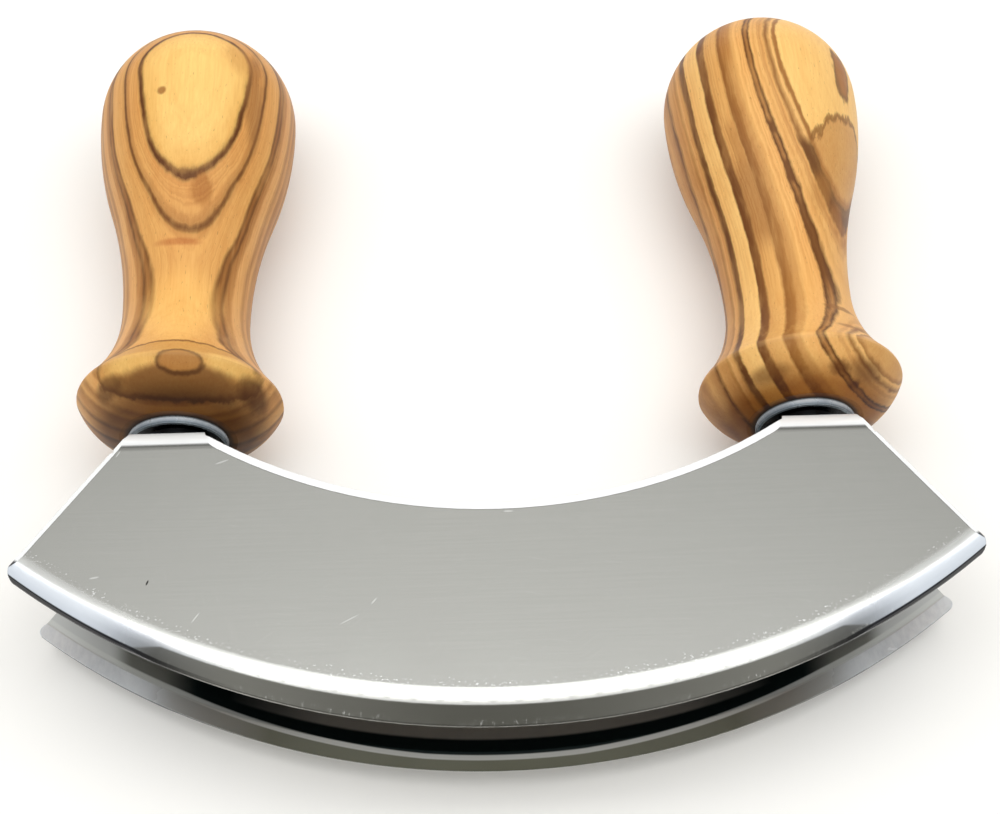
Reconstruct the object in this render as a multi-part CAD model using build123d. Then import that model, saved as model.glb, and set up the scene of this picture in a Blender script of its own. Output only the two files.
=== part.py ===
from build123d import *
from math import asin, cos, degrees, hypot, radians, sin, tan
import os

# Two-blade mezzaluna, lying on its two handles, in millimetres.
# +X runs along the blades, +Y from the cutting edges towards the handles, +Z up from the table.
# The origin is on the table, under the middle of the whole part's box.
# While a piece is built, its Y is measured from the top of the straps towards the handles,
# and its Z from the plane midway between the two blades. The last step sets it in its place.

# Sheet: one folded blank makes both blades and the two straps that join them
sheet = 1.0                  # thickness
blade_spread = 30.0          # over the outer faces of the two blades
fold_radius = 6.2            # outside radius where a strap turns into a blade
half_length = 90.0           # from the middle to the sharp corner of a tip
tip_drop = 30.4              # from the top of the straps down to that corner
edge_drop = 61.6             # from the top of the straps down to the middle of the cutting edge
notch_drop = 18.9            # from the top of the straps down to the middle of the concave edge
handle_inset = 27.6          # from that corner inwards to a handle's axis
strap_width = 13.7           # on top
shoulder_width = 15.0        # where a strap spreads out into the blades
shoulder_drop = 2.6          # from the top of the straps down to there
tip_round = 2.2              # corner radius of a tip, seen from the front
shoulder_round = 1.0         # corner radius where a strap spreads out, seen from the front
end_rim = 1.2                # width of the eased outer rim along the slanted ends
notch_rim = 1.8              # the same along the concave edge
flank_rim = 0.5              # the same along the bent flanks, out to the tips
rim_depth = 0.8              # how deep every eased rim goes into the thickness

# Flank: the band along each cutting edge, bent towards the other blade
flank_drop = 57.3            # from the top of the straps down to the middle of the bend line
flank_tip_drop = 26.8        # the same at the ends, level with the sharp corner of a tip
flank_angle = 28.0           # degrees
flank_soften = 7.4           # outside radius of the bend
bevel_start = 1.2            # from the bend line to the ground bevel
edge_land = 0.15             # thickness left at the cutting edge
bevel_inset = 30.0           # from the corner of a tip inwards to where the full bevel ends
bevel_run_out = 8.0          # length over which the bevel fades at each end

# Handle, turned about its own axis; heights are measured from its face on the collar
flange_radius = 20.5
flange_rise = 7.8            # height of the widest ring of the flange
flange_round = 1.4           # radius of the ridge on the widest ring
flange_foot = 11.6           # radius of the face on the collar
flange_lean = 17.0           # degrees that the underside rises at once from that face
neck_radius = 13.05
neck_rise = 27.5
bulb_radius = 21.2
bulb_rise = 80.0
bulb_shoulder = 82.0         # radius of the long curve below the widest ring of the bulb

# Collar: cup-shaped washer between strap and handle
collar_radius = 9.9
collar_height = 4.3
rim_height = 1.6
rim_wall = 0.6
recess_depth = 0.8           # of the groove inside the rim
boss_foot = 4.9              # radius on the strap
boss_root = 6.5              # radius at the groove
collar_hole = 2.9            # radius

# Screw and plain washer inside the channel
screw_radius = 2.5
screw_length = 46.0          # below the head
screw_point = 5.0            # length of the pointed end
head_radius = 4.6
head_height = 3.0
head_wall = 1.1              # height of the straight side of the head
cross_width = 1.1            # of the cross recess
cross_reach = 2.6            # from the head's middle to the end of a slot
cross_depth = 1.7
washer_radius = 6.2
washer_thickness = 1.0
washer_hole = 2.7            # radius
strap_hole = 2.8             # radius
thread_bite = 0.25           # how far the thread bites into the wood
drill_spare = 2.0            # depth of the pilot hole beyond the screw's point

# Worked out from the sizes above
overrun = 2 * sheet
face_height = blade_spread / 2
strap_centre = half_length - handle_inset
flank_sag = flank_drop - flank_tip_drop
flank_curve = (half_length ** 2 + flank_sag ** 2) / (2 * flank_sag)
flank_centre = flank_curve - flank_drop
flank_slope = tan(radians(flank_angle))
flank_depth = edge_drop - flank_drop
edge_sag = edge_drop - tip_drop
edge_curve = (half_length ** 2 + edge_sag ** 2) / (2 * edge_sag)
notch_reach = strap_centre - shoulder_width / 2
notch_sag = notch_drop - shoulder_drop
notch_curve = (notch_reach ** 2 + notch_sag ** 2) / (2 * notch_sag)
handle_length = bulb_rise + bulb_radius
y_shift = (edge_drop - collar_height - handle_length) / 2
place = Pos(0, y_shift, bulb_radius)


def at_ends(vertices, width):
    """The corners that lie at plus or minus width along X."""
    return [v for v in vertices if abs(abs(v.X) - width) < sheet / 100]


def blank_outline():
    """The folded sheet seen from the front: notch, straps, slanted ends and cutting edge."""
    inner_top = strap_centre - strap_width / 2
    outer_top = strap_centre + strap_width / 2
    outer_shoulder = strap_centre + shoulder_width / 2
    notch = ThreePointArc((-notch_reach, -shoulder_drop), (0, -notch_drop), (notch_reach, -shoulder_drop))
    right = Polyline(
        (notch_reach, -shoulder_drop),
        (inner_top, 0),
        (inner_top, overrun),
        (outer_top, overrun),
        (outer_top, 0),
        (outer_shoulder, -shoulder_drop),
        (half_length, -tip_drop),
    )
    edge = ThreePointArc((half_length, -tip_drop), (0, -edge_drop), (-half_length, -tip_drop))
    outline = make_face([notch, *right.edges(), edge, *mirror(right, about=Plane.YZ).edges()])
    outline = fillet(at_ends(outline.vertices(), half_length), tip_round)
    outline = fillet(at_ends(outline.vertices(), notch_reach), shoulder_round)
    return fillet(at_ends(outline.vertices(), outer_shoulder), shoulder_round)


def flank_point(distance, depth=0.0):
    """A point at a distance beyond the bend line, and a depth below the flank's outer surface,
    as radius from the bend line's centre and height."""
    return (flank_curve + distance, face_height - distance * flank_slope - depth)


def around_flank(profile):
    """A profile of radius and height, set in the plane through the bend line's centre."""
    return Plane.XZ.offset(-flank_centre) * profile


def blade_ring():
    """The stretch that the upper blade is cut from: its face and flank, turned about the bend's centre."""
    beyond = flank_depth + overrun
    crease = flank_curve - sheet * tan(radians(flank_angle) / 2)
    end_outer = flank_point(beyond)
    end_inner = (
        end_outer[0] - sheet * sin(radians(flank_angle)),
        end_outer[1] - sheet * cos(radians(flank_angle)),
    )
    bend = (flank_curve, face_height)
    profile = make_face(
        Polyline(
            (flank_centre, face_height),
            bend,
            end_outer,
            end_inner,
            (crease, face_height - sheet),
            (flank_centre, face_height - sheet),
            close=True,
        )
    )
    corner = profile.vertices().sort_by_distance((*bend, 0))[0]
    profile = fillet(corner, flank_soften)
    return revolve(around_flank(profile), Axis((0, flank_centre, 0), (0, 0, 1)))


def fold_section(half_width, top, corner):
    """Half of the folded profile's outline, as a face: straight sides and two rounded top corners."""
    low = -2 * fold_radius
    face = make_face(
        Polyline((-half_width, low), (-half_width, top), (half_width, top), (half_width, low), close=True)
    )
    upper = face.vertices().sort_by(Axis.Y)[-2:]
    return fillet(upper, corner)


def upper_blade():
    """The upper blade below the fold, before the outline is cut."""
    below_fold = Box(
        2 * (half_length + overrun),
        edge_drop + overrun,
        blade_spread + overrun,
        align=(Align.CENTER, Align.MAX, Align.CENTER),
    )
    return blade_ring() & Pos(0, -fold_radius, 0) * below_fold


def folded_straps():
    """The straps with both folds and the first stretch of the blades, in one long channel."""
    outside = fold_section(face_height, 0, fold_radius)
    inside = fold_section(face_height - sheet, -sheet, fold_radius - sheet)
    reach = strap_centre + shoulder_width / 2 + overrun
    channel = Plane(origin=(-reach, 0, 0), x_dir=(0, 0, -1), z_dir=(1, 0, 0))
    return extrude(channel * outside, 2 * reach) - extrude(channel * inside, 2 * reach)


def easing_section(rim, inward, width):
    """The section that easing takes off an outer rim. The rim is given as distance and height,
    and inward is the direction from it along the surface, into the sheet."""
    upper = Vector(rim[0] + width * inward[0], rim[1] + width * inward[1])
    lower = Vector(rim[0], rim[1] - rim_depth)
    spare = (upper - lower) * (overrun / width)
    top, foot = upper + spare, lower - spare
    return make_face(Polyline(top, foot, (foot.X, top.Y), close=True))


def end_easing():
    """What easing takes off the rim of the slanted end on the right."""
    shoulder = Vector(strap_centre + shoulder_width / 2, -shoulder_drop)
    along = Vector(half_length, -tip_drop) - shoulder
    start = shoulder - along.normalized() * overrun
    across = Plane(origin=start, x_dir=Vector(-along.Y, along.X), z_dir=along)
    section = across * easing_section((0, face_height), (-1, 0), end_rim)
    return extrude(section, along.length + 2 * overrun, dir=along)


def round_easing(centre, section):
    """What easing takes off a rim that runs round a centre on the middle line."""
    return revolve(Plane.XZ.offset(-centre) * section, Axis((0, centre, 0), (0, 0, 1)))


def notch_easing():
    """What easing takes off the rim of the concave edge."""
    section = easing_section((notch_curve, face_height), (1, 0), notch_rim)
    return round_easing(notch_curve - notch_drop, section)


def flank_easing():
    """What easing takes off the rim of a flank, set to the rim's height at the tips."""
    past_bend = hypot(half_length, flank_centre + tip_drop) - flank_curve
    rim = (edge_curve, face_height - past_bend * flank_slope)
    along_flank = (-cos(radians(flank_angle)), sin(radians(flank_angle)))
    return round_easing(edge_curve - edge_drop, easing_section(rim, along_flank, flank_rim))


def bevel_face(start, start_depth, land_depth):
    """The section that grinding takes off one flank, from its upper border to past the edge."""
    beyond = flank_depth + overrun
    fall = (land_depth - start_depth) / (flank_depth - bevel_start)
    upper = flank_point(start, start_depth)
    lower = flank_point(beyond, start_depth + fall * (beyond - bevel_start))
    outside = (lower[0], face_height)
    return around_flank(make_face(Polyline(upper, lower, outside, close=True)))


def bevel_cutter():
    """What grinding takes off the outer side of a flank, with a fading end on each side."""
    full_depth = (sheet - edge_land) / cos(radians(flank_angle))
    full = bevel_face(bevel_start, 0, full_depth)
    faded = bevel_face(flank_depth, 0, 0)
    turn = degrees(asin((half_length - bevel_inset) / flank_curve))
    fade = degrees(bevel_run_out / flank_curve)
    axis = Axis((0, flank_centre, 0), (0, 0, 1))
    middle = revolve(full.rotate(axis, -90 - turn), axis, revolution_arc=2 * turn)
    ends = []
    for side in (-1, 1):
        near = full.rotate(axis, -90 + side * turn)
        far = faded.rotate(axis, -90 + side * (turn + fade))
        ends.append(loft([near, far], ruled=True))
    return [middle, *ends]


def blade_sheet():
    """Both blades and both straps, as the one folded sheet that they are."""
    upper = upper_blade()
    shell = upper + mirror(upper, about=Plane.XY) + folded_straps()
    solid = shell & extrude(blank_outline(), face_height, both=True)
    end = end_easing()
    for cutter in (notch_easing(), flank_easing(), end, mirror(end, about=Plane.YZ), *bevel_cutter()):
        solid = solid - cutter - mirror(cutter, about=Plane.XY)
    hole = Cylinder(strap_hole, 2 * overrun, rotation=(90, 0, 0))
    for side in (-1, 1):
        solid = solid - Pos(side * strap_centre, 0, 0) * hole
    return solid


def turned(profile):
    """A profile of radius and height, turned about a handle's axis."""
    return revolve(profile, Axis.Y)


def toward_neck(centre, radius):
    """The point where a curve of the handle meets the hollow curve through its neck."""
    across = centre[0] - neck_radius
    along = centre[1] - neck_rise
    hollow = (across ** 2 + along ** 2 - radius ** 2) / (2 * (across + radius))
    toward = (neck_radius + hollow - centre[0], neck_rise - centre[1])
    part = radius / (radius + hollow)
    return (centre[0] + part * toward[0], centre[1] + part * toward[1])


def handle():
    """Turned handle with a flange, a neck and a round bulb, and a pilot hole for the screw."""
    bore = screw_radius - thread_bite
    depth = screw_length - washer_thickness - sheet - collar_height + drill_spare
    low = (flange_foot, 0)
    widest = (flange_radius, flange_rise)
    flare = toward_neck((flange_radius - flange_round, flange_rise), flange_round)
    neck = (neck_radius, neck_rise)
    swell = toward_neck((bulb_radius - bulb_shoulder, bulb_rise), bulb_shoulder)
    bulb = (bulb_radius, bulb_rise)
    top = (0, handle_length)
    rise = radians(flange_lean)
    under_curve = TangentArc(low, widest, tangent=(cos(rise), sin(rise)))
    round_curve = TangentArc(widest, flare, tangent=(0, 1))
    flare_curve = TangentArc(flare, neck, tangent=round_curve % 1)
    neck_curve = TangentArc(neck, swell, tangent=(0, 1))
    bulb_curve = TangentArc(swell, bulb, tangent=neck_curve % 1)
    top_curve = TangentArc(bulb, top, tangent=(0, 1))
    inside = Polyline(top, (0, depth), (bore, depth - bore), (bore, 0), low)
    curves = [under_curve, round_curve, flare_curve, neck_curve, bulb_curve, top_curve]
    return turned(make_face([*curves, *inside.edges()]))


def collar():
    """Cup-shaped washer: a boss on the strap, a grooved underside and a rim under the wood."""
    lip = collar_height - rim_height
    groove = lip + recess_depth
    inner_rim = collar_radius - rim_wall
    boss = TangentArc((boss_root, groove), (boss_foot, 0), tangent=(-1, -1))
    rest = Polyline(
        (boss_foot, 0),
        (collar_hole, 0),
        (collar_hole, collar_height),
        (collar_radius, collar_height),
        (collar_radius, lip),
        (inner_rim, lip),
        (inner_rim, groove),
        (boss_root, groove),
    )
    return turned(make_face([boss, *rest.edges()]))


def plain_washer():
    """Flat washer against the inner side of the strap."""
    face = Circle(washer_radius) - Circle(washer_hole)
    return extrude(Plane.XZ.offset(sheet) * face, washer_thickness)


def screw():
    """Pan-head wood screw with a cross recess, driven from the channel into the handle."""
    seat = -sheet - washer_thickness
    top = seat - head_height
    tip = seat + screw_length
    head = TangentArc((head_radius, seat - head_wall), (0, top), tangent=(0, -1))
    rest = Polyline(
        (0, top),
        (0, tip),
        (screw_radius, tip - screw_point),
        (screw_radius, seat),
        (head_radius, seat),
        (head_radius, seat - head_wall),
    )
    solid = turned(make_face([head, *rest.edges()]))
    for turn in (0, 90):
        slot = Box(2 * cross_reach, 2 * cross_depth, cross_width, rotation=(0, turn, 0))
        solid = solid - Pos(0, top, 0) * slot
    return solid


def main():
    """Build every piece in its place and write one file for each."""
    os.makedirs("parts", exist_ok=True)
    pieces = {"blade_sheet": blade_sheet()}
    for side, name in ((-1, "left"), (1, "right")):
        on_axis = Pos(side * strap_centre, 0, 0)
        pieces[f"handle_{name}"] = on_axis * Pos(0, collar_height, 0) * handle()
        pieces[f"cup_washer_{name}"] = on_axis * collar()
        pieces[f"washer_{name}"] = on_axis * plain_washer()
        pieces[f"screw_{name}"] = on_axis * screw()
    for node, piece in pieces.items():
        export_step(place * piece, f"parts/{node}.step")


main()
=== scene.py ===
"""Looks of the two-blade mezzaluna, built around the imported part. Lengths are in metres."""

import logging
from dataclasses import dataclass
from enum import Enum
from math import pi, radians

import bpy
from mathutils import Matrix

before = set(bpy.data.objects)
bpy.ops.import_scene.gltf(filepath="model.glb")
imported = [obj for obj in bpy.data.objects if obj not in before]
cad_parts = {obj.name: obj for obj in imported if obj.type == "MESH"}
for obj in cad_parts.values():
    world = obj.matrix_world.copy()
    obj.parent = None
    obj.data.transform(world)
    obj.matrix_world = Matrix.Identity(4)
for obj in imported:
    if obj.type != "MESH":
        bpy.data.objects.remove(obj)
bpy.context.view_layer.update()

Socket = bpy.types.NodeSocket
Node = bpy.types.Node
Pair = tuple[float, float]
Triple = tuple[float, float, float]
Colour = tuple[float, float, float]
Stop = tuple[float, Colour]
Feed = Socket | float | tuple[float, ...]

MM = 0.001
MID_HEIGHT = 21.2  # the part's middle above the table, in millimetres
HANDLE_ASIDE = 62.4  # each handle's axis from the part's middle, in millimetres
ORIGIN: Triple = (0.0, 0.0, 0.0)
WHITE: Colour = (255, 255, 255)
LOG = logging.getLogger("mezzaluna")


class Side(Enum):
    """The two ends of the mezzaluna."""

    LEFT = "left"
    RIGHT = "right"


class Effect(Enum):
    """Effects that more than one material uses, each built once as a node group."""

    GROWTH_LAYERS = "growth_layers"
    WOOD_FIBRES = "wood_fibres"
    FINE_SCRATCHES = "fine_scratches"
    HANDLING_HAZE = "handling_haze"


def linear(colour: Colour) -> tuple[float, ...]:
    """Turn a display colour from 0 to 255 into what a shader socket takes.

    Args:
        colour: Red, green and blue as a screen shows them.

    Returns:
        The same colour in linear light, with full alpha.
    """
    parts = []
    for part in colour:
        value = part / 255
        parts.append(value / 12.92 if value <= 0.04045 else ((value + 0.055) / 1.055) ** 2.4)
    return (*parts, 1.0)


class Bench:
    """One node tree, with short ways to add nodes and join them."""

    def __init__(self, tree: bpy.types.NodeTree) -> None:
        """Keep the tree that is worked on."""
        self.tree = tree

    def add(self, kind: str, feeds: dict[str | int, Feed] | None = None, **settings: object) -> Node:
        """Add one node.

        Args:
            kind: The node's type.
            feeds: What goes into its inputs, by name or number: a socket to link, or a value.
            **settings: The node's own settings.

        Returns:
            The new node.
        """
        node = self.tree.nodes.new(kind)
        for name, setting in settings.items():
            setattr(node, name, setting)
        self.set(node, feeds or {})
        return node

    def set(self, node: Node, feeds: dict[str | int, Feed]) -> None:
        """Link each socket into its input of a node, or set the input's value.

        Args:
            node: The node.
            feeds: What goes into its inputs, by name or number.
        """
        for key, feed in feeds.items():
            if isinstance(feed, bpy.types.NodeSocket):
                self.tree.links.new(feed, node.inputs[key])
            else:
                node.inputs[key].default_value = feed

    def math(self, operation: str, *terms: Feed, clamp: bool = False) -> Socket:
        """The result of one sum on numbers."""
        feeds = dict(enumerate(terms))
        return self.add("ShaderNodeMath", feeds, operation=operation, use_clamp=clamp).outputs[0]

    def both(self, first: Feed, second: Feed) -> Socket:
        """Where two masks hold: their product."""
        return self.math("MULTIPLY", first, second)

    def either(self, first: Feed, second: Feed) -> Socket:
        """Where one mask or the other holds: the larger of them."""
        return self.math("MAXIMUM", first, second)

    def rest(self, mask: Feed) -> Socket:
        """Where a mask doesn't hold."""
        return self.math("SUBTRACT", 1.0, mask)

    def vector(self, operation: str, *terms: Feed) -> Socket:
        """The result of one sum on vectors, which is a number for a length or a dot product."""
        outputs = self.add("ShaderNodeVectorMath", dict(enumerate(terms)), operation=operation).outputs
        return outputs["Value" if operation in ("LENGTH", "DOT_PRODUCT") else "Vector"]

    def scaled(self, position: Socket, scale: Feed) -> Socket:
        """A position with each axis multiplied by its own number."""
        return self.vector("MULTIPLY", position, scale)

    def axes(self, vector: Socket) -> bpy.types.bpy_prop_collection:
        """The three parts of a vector."""
        return self.add("ShaderNodeSeparateXYZ", {0: vector}).outputs

    def turned(self, position: Socket, angle: float) -> Socket:
        """A position turned about the upright axis by an angle in degrees."""
        feeds = {"Vector": position, "Angle": radians(angle)}
        return self.add("ShaderNodeVectorRotate", feeds, rotation_type="Z_AXIS").outputs[0]

    def noise(self, position: Socket, scale: Feed, detail: float = 2.0, roughness: float = 0.5) -> Socket:
        """Smooth noise from 0 to 1, one wave per unit of the scaled position."""
        place = self.scaled(position, scale)
        feeds = {"Vector": place, "Scale": 1.0, "Detail": detail, "Roughness": roughness}
        return self.add("ShaderNodeTexNoise", feeds).outputs[0]

    def step(self, value: Feed, low: Feed, high: Feed) -> Socket:
        """A soft step: 0 where the value is under low and 1 where it is over high."""
        feeds = {"Value": value, "From Min": low, "From Max": high}
        return self.add("ShaderNodeMapRange", feeds, interpolation_type="SMOOTHSTEP").outputs[0]

    def span(self, value: Feed, low: float, high: float, out_low: float, out_high: float) -> Socket:
        """A value from one range spread evenly over another."""
        feeds = {"Value": value, "From Min": low, "From Max": high, "To Min": out_low, "To Max": out_high}
        return self.add("ShaderNodeMapRange", feeds).outputs[0]

    def mix(self, share: Feed, first: Feed, second: Feed, blend: str = "MIX") -> Socket:
        """Two colours mixed by a share from 0 to 1."""
        feeds = {0: share, 6: first, 7: second}
        return self.add("ShaderNodeMix", feeds, data_type="RGBA", blend_type=blend).outputs[2]

    def tint(self, mask: Feed, under: Feed, tint: Colour, share: float = 1.0, blend: str = "MIX") -> Socket:
        """A display colour laid over another where a mask holds, by a share of it."""
        cover = mask if share == 1.0 else self.both(mask, share)
        return self.mix(cover, under, linear(tint), blend)

    def ramp(self, value: Socket, stops: tuple[Stop, ...], low: float, high: float) -> Socket:
        """A colour looked up along a row of stops.

        Args:
            value: Where to look.
            stops: Places and display colours, in order.
            low: The value that the ramp starts at.
            high: The value that it ends at.

        Returns:
            The colour found.
        """
        node = self.add("ShaderNodeValToRGB", {0: self.span(value, low, high, 0.0, 1.0)})
        elements = node.color_ramp.elements
        while len(elements) < len(stops):
            elements.new(1.0)
        for element, (place, colour) in zip(elements, stops):
            element.position = (place - low) / (high - low)
            element.color = linear(colour)
        return node.outputs[0]

    def window(self, value: Feed, low: float, high: float, blur: float) -> Socket:
        """A soft window: 1 where the value is from low to high, and 0 well outside."""
        rise = self.step(value, low - blur, low + blur)
        return self.math("SUBTRACT", rise, self.step(value, high - blur, high + blur))

    def curve(self, value: Socket, points: tuple[Pair, ...]) -> Socket:
        """A number looked up along a smooth line through points.

        Args:
            value: Where to look.
            points: Places and numbers, in order of place.

        Returns:
            The number found.
        """
        places = [place for place, _ in points]
        numbers = [number for _, number in points]
        low, high, floor, roof = places[0], places[-1], min(numbers), max(numbers)
        node = self.add("ShaderNodeFloatCurve", {"Value": self.span(value, low, high, 0.0, 1.0)})
        line = node.mapping.curves[0]
        while len(line.points) < len(points):
            line.points.new(0.5, 0.5)
        for point, (place, number) in zip(line.points, points):
            point.location = ((place - low) / (high - low), (number - floor) / (roof - floor))
        node.mapping.update()
        return self.span(node.outputs[0], 0.0, 1.0, floor, roof)

    def spot(self, position: Socket, centre: Triple, reach: Triple) -> Socket:
        """How far a position lies from a centre, as 1 at the border of an ellipsoid with that reach."""
        away = self.vector("SUBTRACT", position, centre)
        return self.vector("LENGTH", self.vector("DIVIDE", away, reach))


class Effects:
    """Builds each shared effect once, and places it in materials."""

    def __init__(self) -> None:
        """Build every group."""
        self.groups = {
            Effect.GROWTH_LAYERS: self.growth_layers(),
            Effect.WOOD_FIBRES: self.wood_fibres(),
            Effect.FINE_SCRATCHES: self.fine_scratches(),
            Effect.HANDLING_HAZE: self.handling_haze(),
        }

    @staticmethod
    def start(
        effect: Effect, inputs: dict[str, float | Triple], outputs: tuple[str, ...]
    ) -> tuple[Bench, Node, Node]:
        """Make an empty group with its sockets.

        Args:
            effect: Which effect the group makes.
            inputs: The inputs' names and usual values. A value of three numbers makes a vector.
            outputs: The outputs' names. Each is a number.

        Returns:
            The group's bench, its input node and its output node.
        """
        tree = bpy.data.node_groups.new(effect.value, "ShaderNodeTree")
        for name, value in inputs.items():
            kind = "NodeSocketVector" if isinstance(value, tuple) else "NodeSocketFloat"
            tree.interface.new_socket(name=name, in_out="INPUT", socket_type=kind).default_value = value
        for name in outputs:
            tree.interface.new_socket(name=name, in_out="OUTPUT", socket_type="NodeSocketFloat")
        bench = Bench(tree)
        return bench, bench.add("NodeGroupInput"), bench.add("NodeGroupOutput")

    def place(self, bench: Bench, effect: Effect, feeds: dict[str, Feed]) -> Node:
        """Set one effect into a material, with its own values."""
        return bench.add("ShaderNodeGroup", feeds, node_tree=self.groups[effect])

    def growth_layers(self) -> bpy.types.NodeTree:
        """How deep a point lies across the wood's growth layers, in millimetres, with their waves.

        Returns:
            The group's node tree.
        """
        inputs = {"Position": ORIGIN, "Across": (0.0, 0.0, 1.0), "Sway": 0.6, "Jitter": 0.12}
        bench, given, result = self.start(Effect.GROWTH_LAYERS, inputs, ("Depth", "Veins", "Ripple"))
        place = given.outputs["Position"]
        straight = bench.vector("DOT_PRODUCT", place, given.outputs["Across"])
        shifted = bench.vector("ADD", place, (7.3, 2.1, 4.9))
        wave = bench.noise(shifted, (0.05, 0.03, 0.05), 1.0)
        ripple = bench.noise(place, (0.5, 0.16, 0.5), 3.0, 0.6)
        wave, ripple = (bench.math("SUBTRACT", noise, 0.5) for noise in (wave, ripple))
        sway, jitter = (bench.math("MULTIPLY", given.outputs[name], 4.0) for name in ("Sway", "Jitter"))
        depth = bench.math("MULTIPLY_ADD", wave, sway, straight)
        depth = bench.math("MULTIPLY_ADD", ripple, jitter, depth)
        feeds = {"W": depth, "Scale": 2.2, "Detail": 3.0, "Roughness": 0.65}
        rows = bench.add("ShaderNodeTexNoise", feeds, noise_dimensions="1D")
        veins = bench.step(rows.outputs[0], 0.38, 0.66)
        bench.set(result, {"Depth": depth, "Ripple": ripple, "Veins": veins})
        return bench.tree

    def wood_fibres(self) -> bpy.types.NodeTree:
        """Fine streaks and pores along the grain, which is Y. The position is in millimetres.

        Returns:
            The group's node tree.
        """
        inputs = {"Position": ORIGIN, "Pore Share": 0.5}
        bench, given, result = self.start(Effect.WOOD_FIBRES, inputs, ("Streak", "Pores", "Height"))
        place = given.outputs["Position"]
        streak = bench.noise(place, (2.4, 0.10, 2.4), 3.0, 0.6)
        broad = bench.noise(place, (0.35, 0.03, 0.35), 2.0)
        dash = bench.noise(place, (3.8, 0.55, 3.8), 1.0)
        low = bench.span(given.outputs["Pore Share"], 0.0, 1.0, 0.80, 0.60)
        pores = bench.step(dash, low, bench.math("ADD", low, 0.06))
        both = bench.math("ADD", bench.math("MULTIPLY", streak, 0.6), bench.math("MULTIPLY", broad, 0.4))
        height = bench.math("SUBTRACT", bench.math("MULTIPLY", streak, 0.35), pores)
        bench.set(result, {"Streak": both, "Pores": pores, "Height": height})
        return bench.tree

    def fine_scratches(self) -> bpy.types.NodeTree:
        """Short hairline scratches in three directions. The position is in millimetres.

        Returns:
            The group's node tree.
        """
        inputs = {"Position": ORIGIN, "Length": 14.0, "Width": 0.16, "Share": 0.5}
        bench, given, result = self.start(Effect.FINE_SCRATCHES, inputs, ("Mask", "Height"))
        along = bench.math("DIVIDE", 1.0, given.outputs["Length"])
        across = bench.math("DIVIDE", 1.0, given.outputs["Width"])
        stretch = bench.add("ShaderNodeCombineXYZ", {0: along, 1: across, 2: 0.3}).outputs[0]
        low = bench.span(given.outputs["Share"], 0.0, 1.0, 0.80, 0.58)
        total: Feed = 0.0
        for number, angle in enumerate((12, 74, 141)):
            turned = bench.turned(given.outputs["Position"], angle)
            shifted = bench.vector("ADD", turned, (31.0 * number, 17.0 * number, 0.0))
            hair = bench.noise(shifted, stretch, 0.0)
            total = bench.math("MAXIMUM", total, bench.step(hair, low, bench.math("ADD", low, 0.05)))
        bench.set(result, {"Mask": total, "Height": bench.math("MULTIPLY", total, -1.0)})
        return bench.tree

    def handling_haze(self) -> bpy.types.NodeTree:
        """Cloudy patches left by hands and cloths. The position is in millimetres.

        Returns:
            The group's node tree.
        """
        inputs = {"Position": ORIGIN, "Patch": 14.0}
        bench, given, result = self.start(Effect.HANDLING_HAZE, inputs, ("Haze", "Grit"))
        place = given.outputs["Position"]
        clouds = bench.noise(place, bench.math("DIVIDE", 1.0, given.outputs["Patch"]), 4.0, 0.6)
        specks = bench.noise(place, (3.0, 3.0, 3.0), 1.0)
        bench.set(result, {"Haze": bench.step(clouds, 0.35, 0.7), "Grit": bench.step(specks, 0.70, 0.76)})
        return bench.tree


class Finish:
    """What every finish has in common: a material, its bench, and positions in millimetres."""

    @staticmethod
    def open(name: str) -> tuple[bpy.types.Material, Bench, Node, Socket]:
        """Start a material.

        Args:
            name: The material's name.

        Returns:
            The material, its bench, its shader, and the position on the part in millimetres.
        """
        material = bpy.data.materials.new(name)
        material.use_nodes = True
        bench = Bench(material.node_tree)
        shader = material.node_tree.nodes["Principled BSDF"]
        position = bench.add("ShaderNodeTexCoord").outputs["Object"]
        return material, bench, shader, bench.scaled(position, (1 / MM, 1 / MM, 1 / MM))

    @staticmethod
    def raise_surface(bench: Bench, shader: Node, height: Socket, depth: float, strength: float) -> Node:
        """Feed a height into the shader's normal.

        Args:
            bench: The material's bench.
            shader: Its shader.
            height: The height, where 1 is one depth up.
            depth: That depth in metres.
            strength: How much of it shows.

        Returns:
            The bump node.
        """
        bump = bench.add("ShaderNodeBump", {"Height": height, "Distance": depth, "Strength": strength})
        bench.set(shader, {"Normal": bump.outputs[0]})
        return bump


@dataclass(frozen=True)
class Hair:
    """One scratch or nick on a blade's upper face. Lengths are in millimetres."""

    centre: Pair
    angle: float
    reach: Pair
    tint: Colour = (236, 236, 234)


@dataclass(frozen=True)
class SheetPlaces:
    """Where a point of the sheet lies. Lengths are in millimetres, and masks go from 0 to 1."""

    position: Socket
    aside: Socket  # from the middle, to either side
    from_bend: Socket  # from the centre of the bend's arc
    from_edge: Socket  # from the centre of the cutting edge's arc
    inner: Socket  # the channel's walls
    past_bend: Socket  # the flank and the bevel, from outside
    bent: Socket  # the flank, from inside
    # Where the flank starts, from inside, which carries a painted highlight.
    crease: Socket  # where the flank starts, from inside
    toward_tip: Socket  # grows along the blade
    at_tip: Socket  # the last part of the blade
    # The channel's wall beside the tip, which gets painted light.
    at_end: Socket  # the channel's wall beside the tip
    # Eased rims and the strap's fold above the bend, which carry a painted highlight.
    rim_highlight: Socket  # eased rims above the bend
    # Eased rims past the bend, at the tips, which carry painted shade.
    rim_shade: Socket  # eased rims at the tips


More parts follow.
